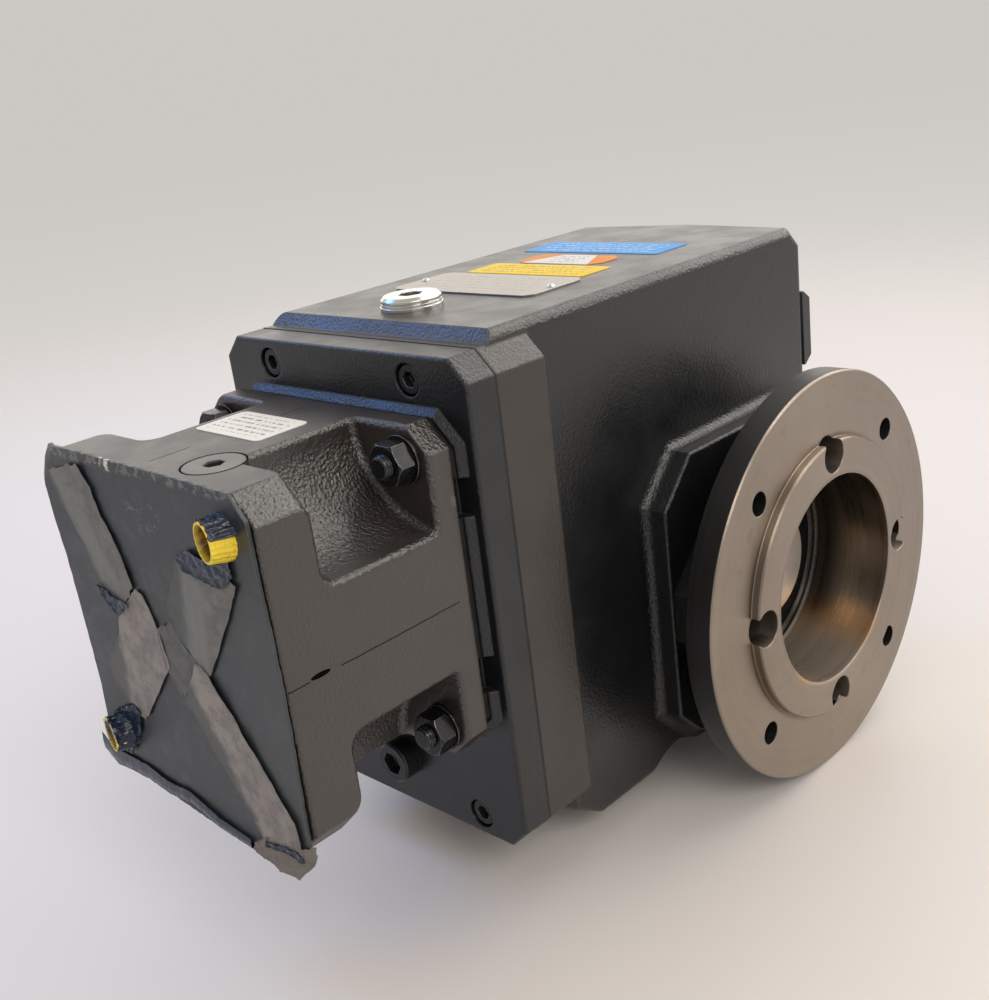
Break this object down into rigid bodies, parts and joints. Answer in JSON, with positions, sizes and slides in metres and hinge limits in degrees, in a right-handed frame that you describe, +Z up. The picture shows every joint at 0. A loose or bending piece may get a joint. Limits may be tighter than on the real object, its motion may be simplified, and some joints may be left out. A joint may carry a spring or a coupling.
{
  "type": "right-angle speed reducer",
  "caption": "Right-angle gear reducer with a hollow output shaft, a round output flange and a square motor adapter closed by a protective sheet.",
  "frame": {"origin": "centre of the output flange's mounting face", "axes": "+X out of the output flange along the output axis, +Z up, motor adapter towards -Y"},
  "size_m": [0.1705, 0.3108, 0.2094],
  "materials": {
    "case_paint": "black paint over cast iron with a fine orange-peel grain",
    "flange_iron": "turned face, black paint on the rim and back",
    "shaft_steel": "ground",
    "gear_steel": "machined",
    "key_steel": "drawn",
    "bearing_steel": "ground",
    "spring_steel": "dark spring finish",
    "dark_screw": "dark finish with worn edges",
    "plated_steel": "dark plated",
    "zinc_plug": "zinc plated",
    "seal_rubber": "matt black",
    "gasket": "dark gasket sheet",
    "sheet_plastic": "black, scuffed",
    "plug_plastic": "yellow, slightly translucent",
    "plate_metal": "brushed"
  },
  "bodies": {
    "gear_case": {"housing": "case_paint", "cover_gasket": "gasket", "front_cover": "case_paint", "cover_screws": "dark_screw", "drain_plug": "dark_screw", "motor_adapter": "case_paint", "adapter_shim": "gasket", "adapter_studs": "plated_steel", "adapter_nuts": "plated_steel", "adapter_washers": "plated_steel", "access_plug": "plated_steel", "protective_sheet": "sheet_plastic", "thread_plugs": "plug_plastic", "oil_fill_plug": "zinc_plug", "fill_plug_ring": "zinc_plug", "nameplate": "plate_metal", "nameplate_rivets": "plate_metal", "output_flange": "flange_iron", "flange_screws": "dark_screw", "output_seals": "seal_rubber", "output_bearing_outers": "bearing_steel", "output_bearing_circlips": "spring_steel", "intermediate_bearing_outers": "bearing_steel", "intermediate_circlip": "spring_steel", "intermediate_cap": "seal_rubber", "pinion_bearing_outers": "bearing_steel", "pinion_outer_spacer": "bearing_steel", "pinion_bearing_circlip": "spring_steel", "input_seal": "seal_rubber"},
    "output_shaft": {"hollow_output_shaft": "shaft_steel", "output_gear": "gear_steel", "output_gear_key": "key_steel", "output_shaft_circlips": "spring_steel", "output_bearing_inners": "bearing_steel"},
    "intermediate_shaft": {"intermediate_shaft": "shaft_steel", "bevel_wheel": "gear_steel", "wheel_key": "key_steel", "intermediate_spacer": "bearing_steel", "intermediate_bearing_inners": "bearing_steel"},
    "input_shaft": {"pinion_shaft": "shaft_steel", "pinion_bearing_inners": "bearing_steel", "pinion_inner_spacer": "bearing_steel", "pinion_shaft_circlip": "spring_steel", "clamp_hub": "shaft_steel", "clamp_screw": "dark_screw"}
  },
  "joints": [
    {"name": "output_spin", "type": "hinge", "parent": "gear_case", "child": "output_shaft", "pos_m": [-0.096, 0, 0], "axis": [1, 0, 0], "continuous": true},
    {"name": "intermediate_spin", "type": "hinge", "parent": "gear_case", "child": "intermediate_shaft", "pos_m": [-0.096, -0.04419, 0.0463], "axis": [1, 0, 0], "continuous": true},
    {"name": "input_spin", "type": "hinge", "parent": "gear_case", "child": "input_shaft", "pos_m": [-0.096, -0.11, 0.0463], "axis": [0, 1, 0], "continuous": true}
  ],
  "couplings": [
    {"joint": "intermediate_spin", "follows": "output_spin", "ratio": -2.3684},
    {"joint": "input_spin", "follows": "output_spin", "ratio": 7.2874}
  ]
}
